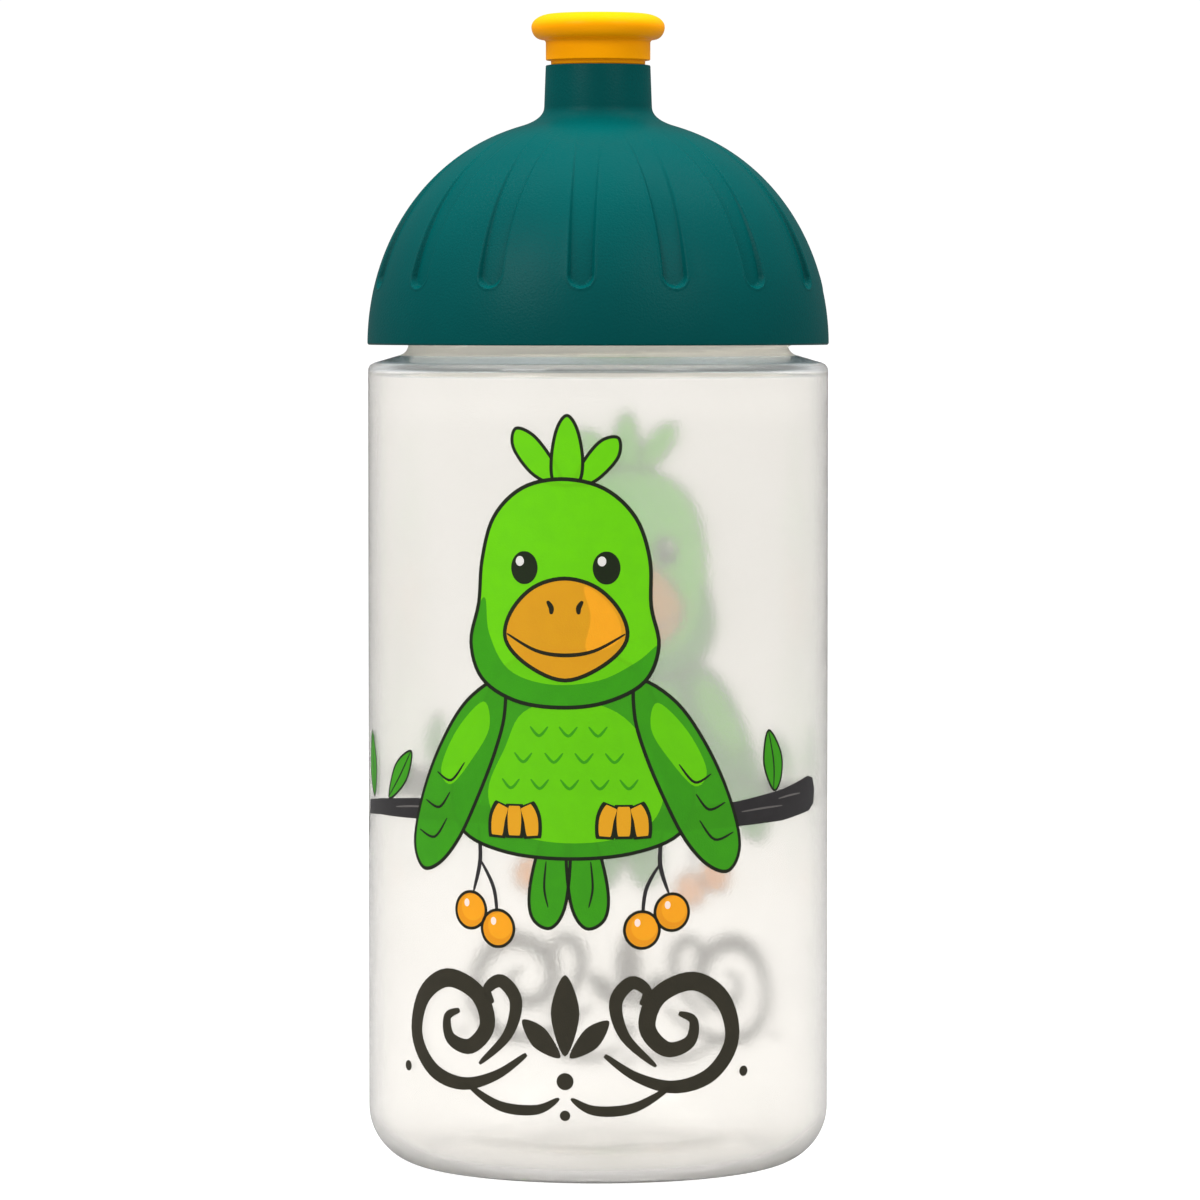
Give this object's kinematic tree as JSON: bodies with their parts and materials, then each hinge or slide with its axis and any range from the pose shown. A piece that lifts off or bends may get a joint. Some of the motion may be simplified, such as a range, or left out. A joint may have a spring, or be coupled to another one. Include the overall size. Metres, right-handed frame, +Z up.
{
  "type": "sports drinking bottle",
  "caption": "Frosted drinking bottle with a screw-on fluted dome cap and a push-pull mouthpiece that seals on a post.",
  "frame": {"origin": "centre of the ring that the bottle stands on, at floor level", "axes": "+Z up along the bottle's axis, -Y towards the front print, +X to the right of the front"},
  "size_m": [0.072, 0.072, 0.1794],
  "materials": {
    "frosted_plastic": "frosted, translucent",
    "cap_plastic": "satin teal",
    "mouthpiece_plastic": "satin warm yellow",
    "valve_plastic": "satin teal",
    "silicone": "soft, milky"
  },
  "bodies": {
    "bottle": {"bottle": "frosted_plastic"},
    "cap_lifter": {"cap_gasket": "silicone"},
    "cap": {"cap_dome": "cap_plastic", "valve_post": "valve_plastic"},
    "mouthpiece_slider": {"stem_oring": "silicone"},
    "mouthpiece": {"mouthpiece": "mouthpiece_plastic"}
  },
  "joints": [
    {"name": "cap_lift", "type": "slide", "parent": "bottle", "child": "cap_lifter", "axis": [0, 0, 1], "range_m": [0, 0.0201]},
    {"name": "cap_turn", "type": "hinge", "parent": "cap_lifter", "child": "cap", "pos_m": [0, 0, 0.1279], "axis": [0, 0, 1], "range_deg": [0, 1440]},
    {"name": "mouthpiece_pull", "type": "slide", "parent": "cap", "child": "mouthpiece_slider", "axis": [0, 0, 1], "range_m": [0, 0.006]},
    {"name": "mouthpiece_spin", "type": "hinge", "parent": "mouthpiece_slider", "child": "mouthpiece", "pos_m": [0, 0, 0.1714], "axis": [0, 0, 1], "continuous": true}
  ],
  "couplings": [
    {"joint": "cap_lift", "follows": "cap_turn", "m_per_rad": 0.00079577}
  ]
}
